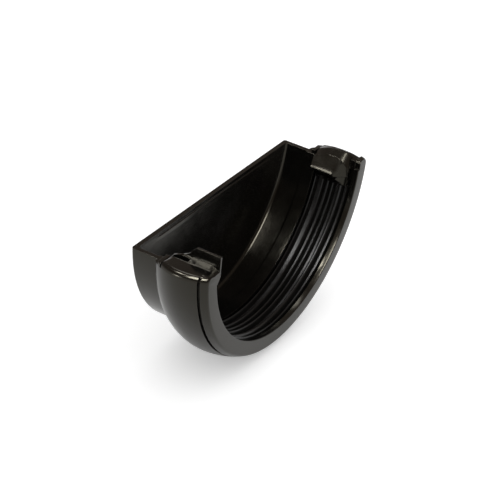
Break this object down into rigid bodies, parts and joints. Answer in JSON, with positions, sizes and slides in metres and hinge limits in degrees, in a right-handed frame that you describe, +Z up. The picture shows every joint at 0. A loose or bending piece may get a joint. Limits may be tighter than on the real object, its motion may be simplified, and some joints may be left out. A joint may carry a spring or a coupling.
{
  "type": "gutter end cap",
  "caption": "Half-round gutter end cap: a D-shaped end wall and chamber with a swelling socket, a ribbed rubber seal and snap clips that hold the gutter's edges.",
  "frame": {"origin": "on the gutter's axis, in the plane of the cap's mouth", "axes": "+Y into the socket towards the end wall, X across the gutter with the thumb tab on the -X side, +Z up"},
  "size_m": [0.1348, 0.0396, 0.0719],
  "materials": {
    "moulded_plastic": "moulded black plastic, glossy",
    "seal_rubber": "black rubber, satin"
  },
  "bodies": {
    "root": {"cap_body": "moulded_plastic", "seal_ring": "seal_rubber"}
  },
  "joints": []
}
